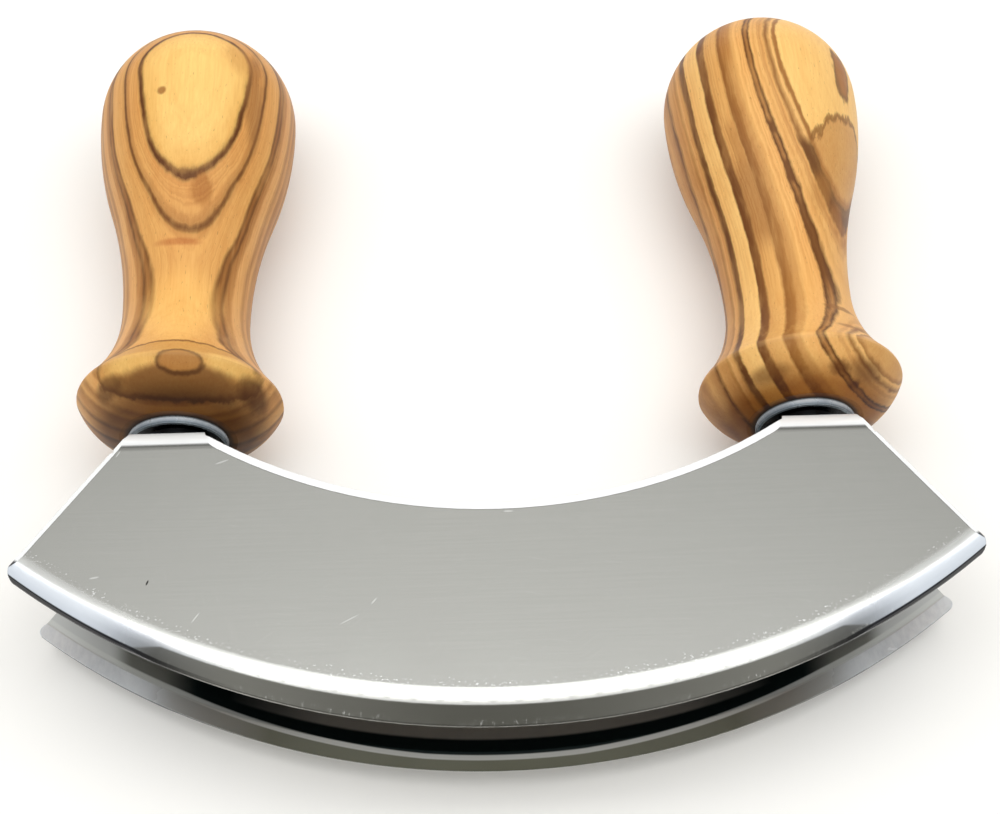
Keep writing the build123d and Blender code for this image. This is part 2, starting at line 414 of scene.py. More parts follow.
@dataclass(frozen=True)
class BladeSteel(Finish):
    """Polished stainless sheet with fine scratches, rougher inside the channel, with painted light and
    shade on its flank, rims, edge and channel walls.
    """

    tint: Colour = (203, 203, 199)
    cloud_tint: Colour = (196, 197, 192)
    brushed_tint: Colour = (186, 187, 182)
    hair_tint: Colour = (232, 232, 230)
    grit_tint: Colour = (120, 118, 112)
    bevel_tint: Colour = (215, 214, 208)
    # Painted reflection on the outer flank towards the tips, light at the bend and dark at the edge;
    # painted highlight at the tips.
    flank_reflection_tints: tuple[Colour, Colour] = ((232, 236, 242), (104, 104, 104))
    tip_highlight_tints: tuple[Colour, Colour] = ((250, 253, 255), (212, 218, 226))
    # Painted highlight on the eased rims and the strap's fold.
    rim_highlight_tint: Colour = (250, 251, 250)
    # Painted shade on the eased rims past the bend.
    rim_shade_tint: Colour = (40, 40, 44)
    burr_tint: Colour = (178, 177, 172)
    # Nicks at the cutting edge, painted light as glints.
    nick_glint_tint: Colour = (230, 230, 224)
    # Painted shade along the cutting edge at the tips.
    tip_edge_shade_tint: Colour = (36, 36, 40)
    # The channel's walls are painted dark: painted shade over rougher steel.
    inner_tint: Colour = (24, 33, 33)
    # Painted reflection of the other blade's flank, as a lighter band near the edge of the channel's wall.
    channel_reflection_tint: Colour = (160, 156, 150)
    # Painted light on the channel's walls towards and beside the open tips.
    inner_tip_light_tint: Colour = (128, 128, 122)
    inner_end_light_tint: Colour = (198, 199, 196)
    # Painted light on the inner flank at the tips.
    inner_flank_highlight_tint: Colour = (250, 253, 255)
    inner_streak_tint: Colour = (206, 211, 218)
    # Painted highlight on the crease.
    crease_highlight_tint: Colour = (214, 215, 210)
    bend_centre: Triple = (0.0, 68.79, 0.0)
    bend_radius: float = 148.04
    edge_centre: Triple = (0.0, 61.86, 0.0)
    edge_radius: float = 145.41
    flank_width: float = 6.0
    strap_row: float = -28.0
    fold_rows: Pair = (-28.6, -28.2)
    toward_tip: Pair = (44.0, 70.0)
    at_tip: Pair = (60.0, 76.0)
    at_end: Pair = (71.0, 76.0)
    channel_reflection_fade: Pair = (34.0, 52.0)
    roughness: float = 0.19
    hairs: tuple[Hair, ...] = (
        Hair((-63.6, -55.5), 70, (0.55, 0.16), (50, 48, 44)),
        Hair((-27.3, -63.85), 28, (1.9, 0.09)),
        Hair((-22.9, -60.4), 50, (0.8, 0.14)),
        Hair((1.8, -43.2), 0, (0.9, 0.16)),
        Hair((-70.8, -28.8), 60, (0.8, 0.14)),
        Hair((-51.3, -31.1), 20, (1.3, 0.18)),
        Hair((-73.2, -54.2), 10, (0.9, 0.2)),
        Hair((-54.6, -62.6), 55, (1.2, 0.12)),
    )

    def build(self, effects: Effects) -> bpy.types.Material:
        """Make the material.

        Args:
            effects: The shared effects.

        Returns:
            The finished material.
        """
        material, bench, shader, position = self.open("blade_steel")
        at = self.survey(bench, position)
        haze = effects.place(bench, Effect.HANDLING_HAZE, {"Position": position, "Patch": 16.0})
        feeds = {"Position": position, "Length": 7.0, "Width": 0.12, "Share": 0.12}
        scratches = effects.place(bench, Effect.FINE_SCRATCHES, feeds)
        nicks_and_glints = self.nicks_and_glints(bench, at)
        outside = self.outside(bench, at, haze, scratches, nicks_and_glints)
        colour = bench.mix(at.inner, outside, self.inside(bench, at))
        rough = bench.math("MULTIPLY_ADD", haze.outputs["Haze"], 0.03, self.roughness)
        dull = bench.span(bench.both(at.bent, at.toward_tip), 0.0, 1.0, 0.2, 0.06)
        rough = bench.math("MULTIPLY_ADD", at.inner, dull, rough)
        mirror = bench.rest(self.painted_light_share(bench, at, nicks_and_glints))
        bench.set(shader, {"Base Color": colour, "Metallic": mirror, "Roughness": rough})
        soft_edge = bench.add("ShaderNodeBevel", {"Radius": 0.35 * MM}, samples=4)
        bump = self.raise_surface(bench, shader, scratches.outputs["Height"], 0.002 * MM, 0.4)
        bench.set(bump, {"Normal": soft_edge.outputs[0]})
        return material

    def survey(self, bench: Bench, position: Socket) -> SheetPlaces:
        """Work out where a point of the sheet lies.

        Args:
            bench: The material's bench.
            position: The position on the part in millimetres.

        Returns:
            The lengths and masks that the colours use.
        """
        place = bench.axes(position)
        normal = bench.add("ShaderNodeTexCoord").outputs["Normal"]
        facing = bench.axes(normal)
        above = bench.math("SIGN", bench.math("SUBTRACT", place[2], MID_HEIGHT))
        outward = bench.math("MULTIPLY", facing[2], above)
        strap = bench.math("GREATER_THAN", place[1], self.strap_row)
        under_strap = bench.both(bench.math("LESS_THAN", facing[1], -0.6), strap)
        inner = bench.either(bench.math("LESS_THAN", outward, -0.2), under_strap)
        from_bend, way = self.around(bench, position, self.bend_centre)
        from_edge, _ = self.around(bench, position, self.edge_centre)
        lean = bench.vector("DOT_PRODUCT", normal, way)
        # Eased rims and the strap's fold: above the bend they carry a painted highlight, past it painted
        # shade.
        rim = bench.both(bench.window(outward, 0.2, 0.962, 0.02), bench.math("LESS_THAN", lean, 0.2))
        fold = bench.both(bench.window(outward, 0.2, 0.984, 0.012), bench.step(place[1], *self.fold_rows))
        rim = bench.either(rim, fold)
        bend = self.bend_radius
        past_bend = bench.step(from_bend, bend - 0.6, bend + 0.2)
        aside = bench.math("ABSOLUTE", place[0])
        drawn = bench.math("SUBTRACT", from_bend, bench.span(aside, 15.0, 62.0, 1.75, 0.0))
        bent = bench.step(drawn, bend - 0.6, bend - 0.1)
        return SheetPlaces(
            position, aside, from_bend, from_edge, inner, past_bend, bent,
            crease=bench.window(drawn, bend - 1.25, bend - 0.05, 0.2),
            toward_tip=bench.step(aside, *self.toward_tip),
            at_tip=bench.step(aside, *self.at_tip),
            at_end=bench.both(bench.step(aside, *self.at_end), bench.rest(bent)),
            rim_highlight=bench.both(rim, bench.rest(past_bend)),
            rim_shade=bench.both(rim, past_bend),
        )

    @staticmethod
    def around(bench: Bench, position: Socket, centre: Triple) -> tuple[Socket, Socket]:
        """How far a position lies from an upright line through a centre, and which way."""
        away = bench.scaled(bench.vector("SUBTRACT", position, centre), (1.0, 1.0, 0.0))
        return bench.vector("LENGTH", away), bench.vector("NORMALIZE", away)

    def outside(self, bench: Bench, at: SheetPlaces, haze: Node, scratches: Node, nicks_and_glints: Socket) -> Socket:
        """The colour of the outer side: the flat face, then the flank, bevel, rims and edge, with painted
        highlights, reflections, glints and shade.

        Args:
            bench: The material's bench.
            at: Where the point lies.
            haze: The placed haze effect.
            scratches: The placed scratch effect.
            nicks_and_glints: The mask of the nicks.

        Returns:
            The colour.
        """
        colour = bench.tint(haze.outputs["Haze"], linear(self.tint), self.cloud_tint, 0.3)
        brushed = bench.noise(at.position, (0.05, 3.2, 1.0), 3.0, 0.6)
        colour = bench.tint(bench.span(brushed, 0.35, 0.65, 0.0, 0.14), colour, self.brushed_tint)
        colour = bench.tint(scratches.outputs["Mask"], colour, self.hair_tint, 0.16)
        colour = bench.tint(haze.outputs["Grit"], colour, self.grit_tint, 0.08)
        colour = self.scratch(bench, at.position, colour)
        # Painted glints along the upper border of the bend.
        colour = bench.tint(self.flecks(bench, at), colour, WHITE)
        colour = bench.tint(at.past_bend, colour, self.bevel_tint)
        edge = self.edge_radius
        # Towards the tips the flank is painted: a painted reflection fading from light at the bend to dark
        # at the edge, and a painted highlight at the tips.
        fade = bench.span(at.from_edge, edge - self.flank_width, edge, 0.0, 1.0)
        flank = bench.mix(fade, *(linear(tint) for tint in self.flank_reflection_tints))
        tip = bench.mix(fade, *(linear(tint) for tint in self.tip_highlight_tints))
        flank = bench.mix(at.at_tip, flank, tip)
        colour = bench.mix(bench.both(at.past_bend, at.toward_tip), colour, flank)
        # Painted highlight on the rims above the bend.
        colour = bench.tint(at.rim_highlight, colour, self.rim_highlight_tint)
        # Painted shade on the rims past the bend.
        colour = bench.tint(at.rim_shade, colour, self.rim_shade_tint)
        burr = bench.step(at.from_edge, edge - 0.34, edge - 0.22)
        burr = bench.math("SUBTRACT", burr, at.toward_tip, clamp=True)
        colour = bench.tint(burr, colour, self.burr_tint)
        # Nicks painted light as glints.
        colour = bench.tint(nicks_and_glints, colour, self.nick_glint_tint)
        # Painted shade as a dark line along the cutting edge towards the tips.
        tip_edge_shade = bench.both(bench.step(at.from_edge, edge - 0.7, edge - 0.5), at.toward_tip)
        return bench.tint(tip_edge_shade, colour, self.tip_edge_shade_tint)

    def inside(self, bench: Bench, at: SheetPlaces) -> Socket:
        """The colour of the channel's walls, painted light and shade: painted shade on the flat walls,
        painted reflections near the edge and on the flank, painted light towards the tips and a painted
        highlight on the crease.

        Args:
            bench: The material's bench.
            at: Where the point lies.

        Returns:
            The colour.
        """
        streaks = bench.noise(at.position, (0.9, 0.25, 0.5), 3.0, 0.6)
        streaks = bench.span(streaks, 0.35, 0.65, 0.0, 0.35)
        # Painted reflection and light on the inner flank: olive grey in the middle, white towards the tips.
        flank = bench.ramp(at.aside, INNER_FLANK_LIGHT, 0.0, 90.0)
        flank = bench.tint(bench.step(at.aside, 62.0, 72.0), flank, self.inner_flank_highlight_tint)
        flank = bench.tint(bench.both(streaks, at.at_tip), flank, self.inner_streak_tint)
        # A lighter band near the edge: painted reflection of the other blade's flank, fading out towards
        # the tips.
        near_edge = bench.window(at.from_bend, 100.0, 145.3, 0.35)
        near_edge = bench.both(near_edge, bench.span(at.aside, *self.channel_reflection_fade, 1.0, 0.0))
        # Painted shade on the channel's flat walls.
        flat = bench.tint(near_edge, linear(self.inner_tint), self.channel_reflection_tint)
        # Painted light on the walls towards the tips and beside them.
        flat = bench.tint(bench.step(at.aside, 58.0, 66.0), flat, self.inner_tip_light_tint)
        flat = bench.tint(at.at_end, flat, self.inner_end_light_tint)
        wall = bench.mix(at.bent, flat, flank)
        # Painted highlight along the crease.
        return bench.tint(at.crease, wall, self.crease_highlight_tint, 0.8)

    def painted_light_share(self, bench: Bench, at: SheetPlaces, nicks_and_glints: Socket) -> Socket:
        """How little the steel mirrors, so that the painted light on the tips, rims, crease and nicks shows
        as plain colour.

        Args:
            bench: The material's bench.
            at: Where the point lies.
            nicks_and_glints: The mask of the nicks.

        Returns:
            The share of plain colour, from 0 to 1.
        """
        tips = bench.both(at.inner, bench.either(bench.both(at.bent, at.toward_tip), at.at_end))
        tips = bench.either(tips, bench.both(at.crease, bench.both(at.inner, 0.4)))
        past = bench.step(at.from_bend, self.bend_radius - 2.2, self.bend_radius - 0.8)
        outer_tip = bench.both(bench.both(past, at.at_tip), bench.rest(at.inner))
        painted_share = bench.either(bench.both(tips, 0.85), bench.both(at.rim_highlight, 0.85))
        painted_share = bench.either(painted_share, bench.both(outer_tip, 0.7))
        return bench.either(painted_share, bench.both(nicks_and_glints, 0.6))

    def flecks(self, bench: Bench, at: SheetPlaces) -> Socket:
        """Short bright flecks along the upper border of the bend: painted glints on fine nicks.

        Args:
            bench: The material's bench.
            at: Where the point lies.

        Returns:
            Their mask.
        """
        low, high = self.bend_radius - 3.6, self.bend_radius - 1.9
        fine = bench.noise(at.position, (1.5, 2.3, 0.5), 2.0, 0.6)
        wide = bench.noise(at.position, (0.11, 0.11, 0.11), 1.0)
        least = bench.span(at.from_bend, low, self.bend_radius - 2.4, 0.68, 0.56)
        spots = bench.both(bench.step(fine, least, 0.70), bench.window(at.from_bend, low, high, 0.5))
        return bench.both(spots, bench.span(wide, 0.35, 0.6, 0.2, 1.0))

    def nicks_and_glints(self, bench: Bench, at: SheetPlaces) -> Socket:
        """Nicks just above the cutting edge, painted light as glints.

        Args:
            bench: The material's bench.
            at: Where the point lies.

        Returns:
            Their mask.
        """
        fine = bench.noise(at.position, (2.0, 0.9, 0.5), 3.0, 0.7)
        wide = bench.noise(at.position, (0.09, 0.09, 0.09), 1.0)
        zone = bench.window(at.from_edge, self.edge_radius - 1.0, self.edge_radius - 0.25, 0.2)
        spots = bench.both(bench.step(fine, 0.54, 0.68), bench.span(wide, 0.4, 0.6, 0.1, 0.6))
        return bench.both(spots, zone)

    def scratch(self, bench: Bench, position: Socket, colour: Socket) -> Socket:
        """Add each single scratch and nick to a colour.

        Args:
            bench: The material's bench.
            position: The position on the part in millimetres.
            colour: The colour under the scratches.

        Returns:
            The colour with them.
        """
        rise = bench.axes(position)[2]
        upper = bench.math("GREATER_THAN", rise, MID_HEIGHT)
        for hair in self.hairs:
            away = bench.vector("SUBTRACT", position, (*hair.centre, 0.0))
            turned = bench.scaled(bench.turned(away, -hair.angle), (1.0, 1.0, 0.0))
            shape = bench.vector("DIVIDE", turned, (*hair.reach, 1.0))
            size = bench.vector("LENGTH", shape)
            share = bench.both(bench.rest(bench.step(size, 0.6, 1.2)), upper)
            colour = bench.tint(share, colour, hair.tint)
        return colour


@dataclass(frozen=True)
class PlainMetal(Finish):
    """Small metal parts with patches and hairline scratches, here as plain steel screws."""

    name: str = "screw_steel"
    tint: Colour = (168, 168, 165)
    dull_tint: Colour = (96, 92, 86)
    hair_tint: Colour = (205, 205, 200)
    hair_share: float = 1.0
    hair_size: Pair = (2.0, 0.1)
    hair_count: float = 0.6
    hair_depth: float = 0.01 * MM
    hair_relief: float = 0.8
    patch: float = 2.5
    patch_roughness: float = 0.2
    roughness: float = 0.3

    def build(self, effects: Effects) -> bpy.types.Material:
        """Make the material.

        Args:
            effects: The shared effects.

        Returns:
            The finished material.
        """
        material, bench, shader, position = self.open(self.name)
        haze = effects.place(bench, Effect.HANDLING_HAZE, {"Position": position, "Patch": self.patch})
        length, width = self.hair_size
        feeds = {"Position": position, "Length": length, "Width": width, "Share": self.hair_count}
        scratches = effects.place(bench, Effect.FINE_SCRATCHES, feeds)
        colour = bench.tint(haze.outputs["Haze"], linear(self.tint), self.dull_tint)
        colour = bench.tint(scratches.outputs["Mask"], colour, self.hair_tint, self.hair_share)
        colour, mirror = self.shade(bench, position, colour)
        rough = bench.math("MULTIPLY_ADD", haze.outputs["Haze"], self.patch_roughness, self.roughness)
        bench.set(shader, {"Base Color": colour, "Roughness": rough, "Metallic": mirror})
        self.raise_surface(bench, shader, scratches.outputs["Height"], self.hair_depth, self.hair_relief)
        return material

    def shade(self, bench: Bench, position: Socket, colour: Socket) -> tuple[Socket, Feed]:
        """The colour with any painted light and shade, and how much it mirrors."""
        return colour, 1.0


@dataclass(frozen=True)
class ZincPlate(PlainMetal):
    """Bright zinc plate on pressed washers: bluish, slightly cloudy, with turning marks."""

    name: str = "zinc_plate"
    tint: Colour = (226, 232, 236)
    dull_tint: Colour = (186, 194, 202)
    hair_tint: Colour = (240, 243, 245)
    hair_share: float = 0.4
    hair_size: Pair = (3.0, 0.12)
    hair_count: float = 0.5
    hair_depth: float = 0.003 * MM
    hair_relief: float = 0.5
    patch: float = 6.0
    patch_roughness: float = 0.1
    roughness: float = 0.24
    # Painted shade in the collar's recess.
    recess_shade_tint: Colour = (44, 46, 50)
    bore_radius: float = 9.25
    strap_crown: float = -21.9

    def shade(self, bench: Bench, position: Socket, colour: Socket) -> tuple[Socket, Feed]:
        """Paint light and shade on the collar's wall along its height, a painted highlight band and painted
        shade next to the wood, and paint shade into its recess.

        Args:
            bench: The material's bench.
            position: The position on the part in millimetres.
            colour: The colour of the clean plate.

        Returns:
            The colour with its painted light and shade, and how much it mirrors.
        """
        place = bench.axes(position)
        aside = bench.math("SUBTRACT", bench.math("ABSOLUTE", place[0]), HANDLE_ASIDE)
        rise = bench.math("SUBTRACT", place[2], MID_HEIGHT)
        out = bench.add("ShaderNodeCombineXYZ", {0: aside, 2: rise}).outputs[0]
        out = bench.vector("LENGTH", out)
        # Painted highlight band and painted shade next to the wood along the wall's height.
        wall = bench.ramp(place[1], COLLAR_WALL_LIGHT, COLLAR_WALL_LIGHT[0][0], COLLAR_WALL_LIGHT[-1][0])
        above = bench.math("GREATER_THAN", place[1], self.strap_crown)
        colour = bench.mix(above, colour, bench.mix(1.0, colour, wall, "MULTIPLY"))
        # Painted shade in the recess.
        recess = bench.both(bench.math("LESS_THAN", out, self.bore_radius), above)
        return bench.tint(recess, colour, self.recess_shade_tint), bench.span(recess, 0.0, 1.0, 0.35, 1.0)


@dataclass(frozen=True)
class Mark:
    """A spot, eye or smear in the wood, or a painted highlight. Lengths are in millimetres."""

    centre: Triple
    reach: Triple
    tint: Colour
    share: float = 0.7
    blur: float = 0.35
    wobble: float = 0.9


@dataclass(frozen=True)
class Fill:
    """A stretch of some growth layers with a colour of its own. Lengths are in millimetres."""

    depth: Pair
    height: Pair
    tint: Colour
    share: float = 0.8
    soft: float = 1.5


@dataclass(frozen=True)
class Fork:
    """A line that leaves a growth layer at a slant, with darker wood on its lower side."""

    depth: float
    height: float
    slope: float
    line_tint: Colour = (132, 86, 38)
    lower_tint: Colour = (206, 152, 88)


@dataclass(frozen=True)
class WoodPlaces:
    """Where a point of the wood lies, in millimetres."""

    position: Socket
    row: Socket  # along the grain
    depth: Socket  # across the growth layers
    ripple: Socket  # the small waves of the layers


@dataclass(frozen=True)
class OliveWood(Finish):
    """Turned and oiled olive wood, with its own run of growth layers."""

    side: Side
    across: Triple
    layers: tuple[Stop, ...]
    drift: tuple[Pair, ...]
    marks: tuple[Mark, ...]
    fills: tuple[Fill, ...]
    forks: tuple[Fork, ...]
    sway: float
    jitter: float
    # under: painted shade under the flange, partly its darker end grain.
    under: Colour
    vein: Colour = (196, 146, 84)
    streak: Colour = (222, 176, 120)
    pore: Colour = (136, 86, 40)
    # Painted highlight along the ridge.
    ridge: Colour = (246, 206, 146)
    plain: Colour = (238, 186, 112)
    # Painted contact shadow round the collar.
    collar_contact_shade: Colour = (46, 32, 22)
    plain_from: float = 30.8
    ridge_row: float = -10.5
    contact_shade_reach: Pair = (10.1, 11.2)
    under_shade_reach: Pair = (13.5, 19.6)
    ridge_glint_reach: Pair = (20.1, 20.45)
    roughness: float = 0.42

    def build(self, effects: Effects) -> bpy.types.Material:
        """Make the material.

        Args:
            effects: The shared effects.

        Returns:
            The finished material.
        """
        material, bench, shader, position = self.open(f"olive_wood_{self.side.value}")
        row = bench.axes(position)[1]
        feeds = {"Position": position, "Across": self.across, "Sway": self.sway, "Jitter": self.jitter}
        layers = effects.place(bench, Effect.GROWTH_LAYERS, feeds)
        fibres = effects.place(bench, Effect.WOOD_FIBRES, {"Position": position, "Pore Share": 0.5})
        haze = effects.place(bench, Effect.HANDLING_HAZE, {"Position": position, "Patch": 18.0})
        depth = bench.math("SUBTRACT", layers.outputs["Depth"], bench.curve(row, self.drift))
        at = WoodPlaces(position, row, depth, layers.outputs["Ripple"])
        figured = bench.rest(bench.step(depth, self.plain_from - 0.3, self.plain_from + 0.3))
        colour = self.figure(bench, at, figured)
        veins = bench.both(layers.outputs["Veins"], bench.span(figured, 0.0, 1.0, 0.05, 0.22))
        veins = bench.both(veins, bench.span(row, 4.0, 18.0, 0.2, 1.0))
        colour = bench.tint(veins, colour, self.vein, blend="MULTIPLY")
        streak = bench.span(fibres.outputs["Streak"], 0.35, 0.65, 0.0, 1.0)
        colour = bench.tint(streak, colour, self.streak, 0.3, blend="MULTIPLY")
        colour = bench.tint(fibres.outputs["Pores"], colour, self.pore, 0.4)
        colour = self.paint_light_and_shade(bench, at, colour)
        rough = bench.math("MULTIPLY_ADD", haze.outputs["Haze"], 0.10, self.roughness)
        bench.set(shader, {"Base Color": colour, "Roughness": rough, "Specular IOR Level": 0.2})
        bench.set(shader, {"Coat Weight": 0.03, "Coat Roughness": 0.3})
        self.raise_surface(bench, shader, fibres.outputs["Height"], 0.02 * MM, 0.5)
        return material

    def figure(self, bench: Bench, at: WoodPlaces, figured: Socket) -> Socket:
        """The colour of the growth layers, with their fills, forks and marks.

        Args:
            bench: The material's bench.
            at: Where the point lies.
            figured: The mask of the wood that has lines in it.

        Returns:
            The colour.
        """
        colour = bench.ramp(at.depth, self.layers, self.layers[0][0], self.layers[-1][0])
        patchy = bench.noise(at.position, (0.32, 0.045, 0.32), 3.0, 0.6)
        patchy = bench.math("MULTIPLY", bench.both(bench.step(patchy, 0.42, 0.68), figured), 0.25)
        colour = bench.tint(patchy, colour, self.plain)
        for fill in self.fills:
            colour = self.fill(bench, at, fill, colour)
        for fork in self.forks:
            colour = self.part(bench, at, fork, colour)
        for mark in self.marks:
            size = bench.spot(at.position, mark.centre, mark.reach)
            size = bench.math("MULTIPLY_ADD", at.ripple, mark.wobble, size)
            share = bench.rest(bench.step(size, 1.0 - mark.blur, 1.0 + mark.blur))
            colour = bench.tint(share, colour, mark.tint, mark.share)
        return colour

    def paint_light_and_shade(self, bench: Bench, at: WoodPlaces, colour: Socket) -> Socket:
        """Paint shade under the flange, partly its darker end grain, paint a contact shadow in the ring
        round the collar, and paint a highlight along the ridge.

        Args:
            bench: The material's bench.
            at: Where the point lies.
            colour: The colour of the clean wood.

        Returns:
            The colour with its painted light and shade.
        """
        axis = HANDLE_ASIDE if self.side is Side.RIGHT else -HANDLE_ASIDE
        away = bench.vector("SUBTRACT", at.position, (axis, 0.0, MID_HEIGHT))
        out = bench.vector("LENGTH", bench.scaled(away, (1.0, 0.0, 1.0)))
        below_ridge = bench.math("LESS_THAN", at.row, self.ridge_row)
        # Painted shade under the flange, partly its darker end grain.
        end_grain_and_shade = bench.both(bench.rest(bench.step(out, *self.under_shade_reach)), below_ridge)
        colour = bench.tint(end_grain_and_shade, colour, self.under, blend="MULTIPLY")
        # Painted highlight along the ridge.
        ridge_glint = bench.both(bench.step(out, *self.ridge_glint_reach), bench.math("LESS_THAN", at.row, 0.0))
        colour = bench.tint(ridge_glint, colour, self.ridge, 0.12)
        # Painted contact shadow in the ring round the collar.
        contact_shadow = bench.both(bench.rest(bench.step(out, *self.contact_shade_reach)), below_ridge)
        return bench.tint(contact_shadow, colour, self.collar_contact_shade, 0.85)

    @staticmethod
    def fill(bench: Bench, at: WoodPlaces, fill: Fill, colour: Socket) -> Socket:
        """Colour one stretch of growth layers.

        Args:
            bench: The material's bench.
            at: Where the point lies.
            fill: The stretch.
            colour: The colour under it.

        Returns:
            The colour with the stretch.
        """
        inside = bench.window(at.depth, *fill.depth, 0.2)
        inside = bench.both(inside, bench.window(at.row, *fill.height, fill.soft))
        return bench.tint(inside, colour, fill.tint, fill.share)

    @staticmethod
    def part(bench: Bench, at: WoodPlaces, fork: Fork, colour: Socket) -> Socket:
        """Draw one slanting line and darken the wood below it.

        Args:
            bench: The material's bench.
            at: Where the point lies.
            fork: The line.
            colour: The colour under the line.

        Returns:
            The colour with the line.
        """
        slant = bench.math("MULTIPLY_ADD", at.depth, fork.slope, fork.height - fork.slope * fork.depth)
        over = bench.math("MULTIPLY_ADD", at.ripple, 6.0, bench.math("SUBTRACT", at.row, slant))
        beyond = bench.step(at.depth, fork.depth - 0.4, fork.depth + 0.4)
        below = bench.both(bench.rest(bench.step(over, -0.5, 0.3)), beyond)
        colour = bench.tint(below, colour, fork.lower_tint, 0.8)
        line = bench.both(bench.window(over, -0.7, 0.5, 0.4), beyond)
        return bench.tint(line, colour, fork.line_tint, 0.75)


@dataclass
class Blades:
    """The folded sheet with both blades and both straps."""

    finish: BladeSteel

    def dress(self, effects: Effects) -> None:
        """Give the sheet its steel."""
        give(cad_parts["blade_sheet"], self.finish.build(effects))
        LOG.info("blade_sheet dressed")


@dataclass
class HandleSet:
    """One handle with its collar, screw and washer."""

    side: Side
    wood: OliveWood
    zinc: bpy.types.Material
    steel: bpy.types.Material

    def dress(self, effects: Effects) -> None:
        """Give each piece of the set its finish.

        Args:
            effects: The shared effects.
        """
        name = self.side.value
        give(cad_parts[f"handle_{name}"], self.wood.build(effects))
        give(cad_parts[f"cup_washer_{name}"], self.zinc)
        give(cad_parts[f"washer_{name}"], self.zinc)
        give(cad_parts[f"screw_{name}"], self.steel)
        LOG.info("handle set %s dressed", name)


def give(piece: bpy.types.Object, material: bpy.types.Material) -> None:
    """Put one material on a piece, in place of those it has."""
    piece.data.materials.clear()
    piece.data.materials.append(material)


@dataclass(frozen=True)
class SoftBox:
    """A level soft box, in metres and watts, which the steel may mirror or not."""

    name: str
    size: Pair
    place: Triple
    power: float
    mirrored: bool


@dataclass
class Studio:
    """Pale floor, soft light and the camera."""

    floor_reach: float = 3.0
    floor_tint: Colour = (0.90, 0.88, 0.84)
    floor_bounce: Colour = (0.74, 0.74, 0.74)
    floor_lift: float = 0.1
    boxes: tuple[SoftBox, ...] = (
        SoftBox("soft_box", (0.56, 0.24), (0.0, -0.085, 0.54), 1.0, True),
        SoftBox("strip_box", (1.7, 0.05), (0.0, -0.02, 0.54), 0.9, True),
        SoftBox("fill_box", (1.0, 0.3), (0.0, 0.14, 0.54), 1.3, False),
    )
    camera_place: Triple = (-0.007512, -0.18775, 0.31713)
    camera_turn: Triple = (30.7655, -0.3757, -2.1053)
    lens: float = 61.68
    shift: Pair = (0.0034, -0.0007)

    def build(self) -> None:
        """Set up everything around the part."""
        self.lay_floor()
        self.hang_light()
        self.fill_sky()
        self.set_camera()
        LOG.info("studio ready")

    def lay_floor(self) -> None:
        """Lay a wide white sheet under the part, which keeps the part's shadow."""
        reach = self.floor_reach
        mesh = bpy.data.meshes.new("floor")
        corners = [(-reach, -reach, 0), (reach, -reach, 0), (reach, reach, 0), (-reach, reach, 0)]
        mesh.from_pydata(corners, [], [(0, 1, 2, 3)])
        floor = bpy.data.objects.new("floor", mesh)
        bpy.context.scene.collection.objects.link(floor)
        material = bpy.data.materials.new("floor_paper")
        material.use_nodes = True
        bench = Bench(material.node_tree)
        shader = material.node_tree.nodes["Principled BSDF"]
        rays = bench.add("ShaderNodeLightPath").outputs
        seen = bench.either(rays["Is Camera Ray"], rays["Is Glossy Ray"])
        glow = {"Emission Color": linear(WHITE), "Emission Strength": bench.both(seen, self.floor_lift)}
        paper = bench.mix(seen, (*self.floor_bounce, 1.0), (*self.floor_tint, 1.0))
        bench.set(shader, {"Base Color": paper, "Roughness": 0.9, "Specular IOR Level": 0.0, **glow})
        floor.data.materials.append(material)

    def hang_light(self) -> None:
        """Hang two soft boxes that the steel mirrors, and one behind them that only throws light."""
        for box in self.boxes:
            lamp = bpy.data.lights.new(box.name, "AREA")
            lamp.shape = "RECTANGLE"
            lamp.size, lamp.size_y = box.size
            lamp.energy = box.power
            hung = bpy.data.objects.new(box.name, lamp)
            hung.location = box.place
            hung.visible_glossy = box.mirrored
            bpy.context.scene.collection.objects.link(hung)

    def fill_sky(self) -> None:
        """Fill the room with plain light that is brightest behind and darkest in front."""
        world = bpy.data.worlds.new("studio_room")
        world.use_nodes = True
        bpy.context.scene.world = world
        bench = Bench(world.node_tree)
        out = world.node_tree.nodes["World Output"]
        outlook = bench.add("ShaderNodeTexCoord").outputs["Generated"]
        way = bench.axes(outlook)
        turn = bench.math("ARCTAN2", way[2], way[1])
        middle = bench.ramp(turn, MIDDLE_ROOM, 0.0, pi)
        ends = bench.ramp(turn, END_ROOM, 0.0, pi)
        room = bench.mix(bench.step(bench.math("ABSOLUTE", way[0]), 0.04, 0.62), middle, ends)
        seen = bench.add("ShaderNodeLightPath").outputs["Is Camera Ray"]
        plain = bench.add("ShaderNodeBackground", {"Color": room, "Strength": 1.0})
        white = bench.add("ShaderNodeBackground", {"Color": linear(WHITE), "Strength": 1.0})
        both = bench.add("ShaderNodeMixShader", {0: seen, 1: plain.outputs[0], 2: white.outputs[0]})
        bench.set(out, {"Surface": both.outputs[0]})

    def set_camera(self) -> None:
        """Put the camera where the photograph was taken from."""
        data = bpy.data.cameras.new("camera")
        data.lens = self.lens
        data.sensor_width = 36.0
        data.sensor_fit = "HORIZONTAL"
        data.shift_x, data.shift_y = self.shift
        data.clip_start = 0.01
        camera = bpy.data.objects.new("camera", data)
        camera.location = self.camera_place
        camera.rotation_euler = [radians(angle) for angle in self.camera_turn]
        bpy.context.scene.collection.objects.link(camera)
        bpy.context.scene.camera = camera
        bpy.context.scene.view_settings.view_transform = "Standard"


# Painted reflection and light on the inner flank, along the blade: olive grey in the middle, white at the
# tips.
INNER_FLANK_LIGHT: tuple[Stop, ...] = (
    (0.0, (112, 113, 98)), (44.0, (116, 117, 104)), (62.0, (196, 196, 192)),
    (72.0, (222, 226, 230)), (82.0, (255, 255, 255)),
)

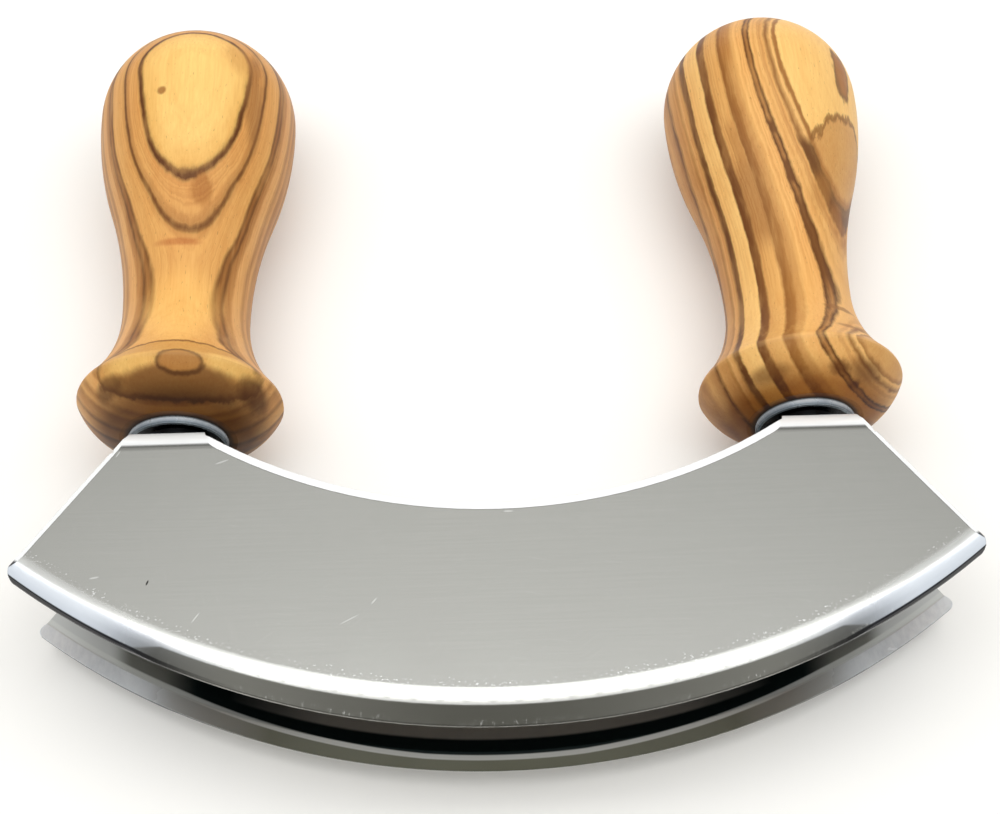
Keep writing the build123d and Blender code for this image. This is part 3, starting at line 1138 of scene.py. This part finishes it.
# Painted light and shade on the collar's wall by height: a painted highlight band and painted shade next to
# the wood.
COLLAR_WALL_LIGHT: tuple[Stop, ...] = (
    (-19.3, (178, 186, 190)), (-19.0, (128, 136, 142)), (-18.6, (206, 212, 216)),
    (-18.1, (255, 255, 255)), (-17.85, (150, 152, 152)), (-17.6, (60, 54, 50)),
)

MIDDLE_ROOM: tuple[Stop, ...] = (
    (0.0, (252, 252, 252)), (0.37, (250, 250, 250)), (0.46, (88, 88, 86)),
    (0.82, (100, 100, 98)), (0.98, (206, 206, 203)), (1.08, (229, 229, 226)),
    (1.30, (233, 233, 231)), (1.45, (240, 241, 242)), (1.90, (236, 238, 240)),
    (2.06, (196, 198, 198)), (2.24, (128, 128, 122)), (2.45, (104, 104, 98)),
    (2.80, (92, 92, 88)), (pi, (120, 120, 116)),
)

END_ROOM: tuple[Stop, ...] = (
    (0.0, (255, 255, 255)), (0.37, (252, 253, 255)), (0.46, (96, 96, 95)),
    (0.82, (96, 96, 95)), (0.98, (156, 156, 153)), (1.08, (172, 172, 169)),
    (1.30, (184, 185, 185)), (1.45, (228, 232, 236)), (1.90, (236, 240, 245)),
    (2.06, (216, 220, 224)), (2.24, (176, 178, 178)), (2.45, (150, 150, 146)),
    (2.80, (128, 128, 124)), (pi, (140, 140, 136)),
)

LEFT_LAYERS: tuple[Stop, ...] = (
    (0.0, (214, 158, 92)), (2.2, (232, 178, 106)), (3.0, (144, 96, 46)),
    (6.0, (204, 146, 82)), (8.0, (134, 88, 44)), (8.9, (228, 174, 104)),
    (11.5, (216, 160, 92)), (12.6, (156, 108, 58)), (13.8, (212, 156, 90)),
    (16.5, (182, 128, 72)), (17.4, (222, 168, 100)), (18.7, (184, 130, 74)),
    (19.7, (228, 174, 106)), (21.3, (230, 174, 106)), (21.8, (196, 140, 78)),
    (22.7, (176, 122, 64)), (23.1, (112, 70, 30)), (23.6, (166, 112, 56)),
    (24.15, (118, 74, 32)), (24.6, (230, 174, 100)), (27.0, (230, 172, 98)),
    (27.55, (206, 150, 82)), (27.72, (116, 72, 30)), (27.98, (122, 76, 32)),
    (28.15, (190, 136, 74)), (28.8, (224, 166, 94)), (30.15, (226, 166, 92)),
    (30.42, (100, 58, 20)), (30.7, (104, 60, 22)), (31.0, (240, 190, 106)),
    (32.5, (254, 208, 124)), (44.0, (255, 212, 130)),
)

LEFT_DRIFT: tuple[Pair, ...] = (
    (-26.0, 7.4), (-9.0, 6.5), (2.0, 3.2), (10.0, 2.0), (19.0, 1.2), (24.0, 0.4),
    (28.0, 0.0), (42.0, -0.1), (55.0, 0.0), (70.0, -0.8), (82.0, -1.0),
)

LEFT_MARKS = (
    Mark((-51.0, 66.0, 38.0), (5.0, 4.2, 4.0), (206, 146, 76), 0.5, 0.5),
    Mark((-58.2, 33.0, 36.7), (2.2, 3.6, 2.6), (176, 112, 46), 0.7),
    Mark((-62.7, 21.2, 35.0), (4.2, 0.8, 3.0), (190, 110, 54), 0.6, 0.5),
    Mark((-67.1, 55.6, 41.6), (0.9, 1.0, 1.2), (150, 92, 36), 0.8),
    Mark((-48.6, 57.0, 35.5), (1.6, 12.0, 6.0), (156, 108, 58), 0.6, 0.4),
    Mark((-61.5, 5.0, 34.0), (7.0, 9.5, 20.0), (255, 202, 116), 0.6, 0.4, 0.3),
    Mark((-60.8, -10.9, 36.0), (15.7, 6.0, 60.0), (112, 70, 32), 0.85, 0.03, 0.2),
    Mark((-60.8, -10.8, 36.0), (15.0, 5.4, 60.0), (224, 170, 94), 0.9, 0.06, 0.2),
    # Painted highlights: two bright patches on the ridge, either side of the eye.
    Mark((-69.0, -11.0, 36.0), (4.4, 1.7, 60.0), (246, 200, 116), 0.7, 0.4, 0.4),
    Mark((-50.6, -10.6, 36.0), (4.6, 1.9, 60.0), (246, 200, 116), 0.7, 0.4, 0.4),
    Mark((-60.0, -14.1, 36.0), (13.4, 2.5, 60.0), (112, 70, 34), 0.8, 0.3, 0.4),
    Mark((-46.5, -13.2, 31.5), (3.0, 2.2, 7.0), (86, 50, 22), 0.8, 0.4, 0.4),
    Mark((-73.8, -13.4, 35.0), (3.0, 1.6, 7.0), (96, 60, 28), 0.7, 0.4, 0.4),
    Mark((-59.7, -11.2, 40.0), (4.6, 2.4, 60.0), (92, 56, 24), 0.85, 0.1, 0.4),
    Mark((-59.7, -11.1, 40.0), (3.9, 1.75, 60.0), (190, 134, 68), 0.85, 0.15, 0.4),
)

RIGHT_LAYERS: tuple[Stop, ...] = (
    (36.0, (206, 152, 88)), (47.5, (186, 132, 76)), (49.5, (220, 166, 98)),
    (51.8, (190, 136, 78)), (52.6, (116, 72, 32)), (53.5, (214, 158, 90)),
    (55.4, (200, 144, 80)), (56.0, (180, 126, 64)), (56.5, (226, 172, 104)),
    (57.3, (214, 158, 90)), (58.1, (104, 62, 24)), (59.0, (114, 70, 30)),
    (59.4, (250, 200, 122)), (62.8, (253, 206, 128)), (63.2, (112, 66, 26)),
    (64.7, (132, 84, 38)), (65.2, (218, 164, 94)), (67.9, (234, 180, 106)),
    (68.5, (150, 98, 44)), (69.9, (170, 116, 56)), (70.5, (204, 150, 84)),
    (71.4, (212, 158, 90)), (72.0, (242, 188, 112)), (74.05, (238, 180, 106)),
    (74.4, (98, 58, 22)), (74.95, (182, 128, 68)), (75.45, (92, 54, 20)),
    (75.9, (238, 184, 110)), (78.2, (232, 178, 106)), (78.8, (138, 88, 40)),
    (79.5, (238, 188, 116)), (80.3, (252, 204, 124)),
)

RIGHT_DRIFT: tuple[Pair, ...] = ((-26.0, 0.0), (20.0, 0.1), (82.0, 0.0))

RIGHT_FILLS = (
    Fill((79.9, 80.6), (-30.0, 90.0), (158, 104, 50), 0.9, 2.0),
    Fill((77.3, 77.9), (-30.0, 90.0), (208, 152, 88), 0.6, 2.0),
    Fill((74.4, 75.5), (41.5, 44.5), (112, 68, 28), 0.85, 0.8),
    Fill((74.4, 75.5), (31.0, 36.0), (112, 68, 28), 0.85, 0.8),
    Fill((74.4, 75.5), (8.0, 28.0), (112, 68, 28), 0.8, 2.5),
    Fill((66.0, 68.0), (34.0, 46.0), (186, 130, 66), 0.6, 3.0),
    Fill((64.9, 68.3), (18.0, 36.0), (164, 112, 58), 0.65, 4.0),
    Fill((78.3, 80.0), (19.0, 40.5), (112, 70, 30), 0.9, 1.5),
    Fill((69.0, 71.2), (62.0, 90.0), (190, 132, 68), 0.6, 3.0),
    Fill((49.0, 52.0), (62.0, 90.0), (180, 122, 62), 0.5, 3.0),
)

RIGHT_FORKS = (Fork(80.2, 41.0, 1.5),)

RIGHT_MARKS = (
    Mark((70.0, 30.0, 34.5), (2.6, 4.6, 2.6), (190, 134, 70), 0.5, 0.5),
    Mark((73.0, 25.0, 31.0), (2.2, 4.0, 2.4), (184, 126, 64), 0.5, 0.5),
    Mark((74.7, 22.7, 27.9), (1.8, 3.0, 2.4), (176, 118, 58), 0.5, 0.5),
    Mark((78.2, 61.2, 35.0), (2.8, 7.4, 3.3), (112, 68, 30), 0.85, 0.14),
    Mark((78.2, 61.2, 35.0), (1.9, 5.6, 2.4), (176, 116, 56), 0.85, 0.2),
    Mark((70.4, 1.6, 33.1), (4.0, 0.7, 4.0), (150, 98, 46), 0.7, 0.4),
    Mark((72.5, -4.7, 35.5), (4.5, 0.7, 4.5), (156, 104, 50), 0.6, 0.4),
    Mark((67.6, -15.4, 38.4), (2.8, 1.6, 2.4), (112, 66, 28), 0.75, 0.4),
    Mark((70.6, -17.0, 34.6), (1.8, 1.2, 2.2), (112, 66, 28), 0.7, 0.4),
    Mark((72.6, -14.2, 35.0), (4.0, 1.7, 5.0), (100, 60, 26), 0.6, 0.6, 0.8),
    Mark((54.0, -14.5, 34.0), (3.6, 1.2, 5.0), (128, 82, 38), 0.6, 0.5, 0.5),
)


def main() -> None:
    """Build the finishes, dress each sub-assembly and set up the studio."""
    logging.basicConfig(level=logging.INFO, format="%(name)s: %(message)s")
    effects = Effects()
    LOG.info("%d shared effects built", len(effects.groups))
    Blades(BladeSteel()).dress(effects)
    zinc = ZincPlate().build(effects)
    steel = PlainMetal().build(effects)
    # under: each flange's painted shade, partly its darker end grain.
    woods = (
        OliveWood(
            side=Side.LEFT, across=(0.094, -0.045, 0.995), sway=0.3, jitter=0.13, under=(140, 124, 100),
            layers=LEFT_LAYERS, drift=LEFT_DRIFT, marks=LEFT_MARKS, fills=(), forks=(),
        ),
        OliveWood(
            side=Side.RIGHT, across=(0.809, 0.065, 0.584), sway=0.5, jitter=0.24, under=(176, 150, 112),
            layers=RIGHT_LAYERS, drift=RIGHT_DRIFT, marks=RIGHT_MARKS, fills=RIGHT_FILLS,
            forks=RIGHT_FORKS, plain_from=80.6,
        ),
    )
    for wood in woods:
        HandleSet(wood.side, wood, zinc, steel).dress(effects)
    Studio().build()


if __name__ == "__main__":
    main()
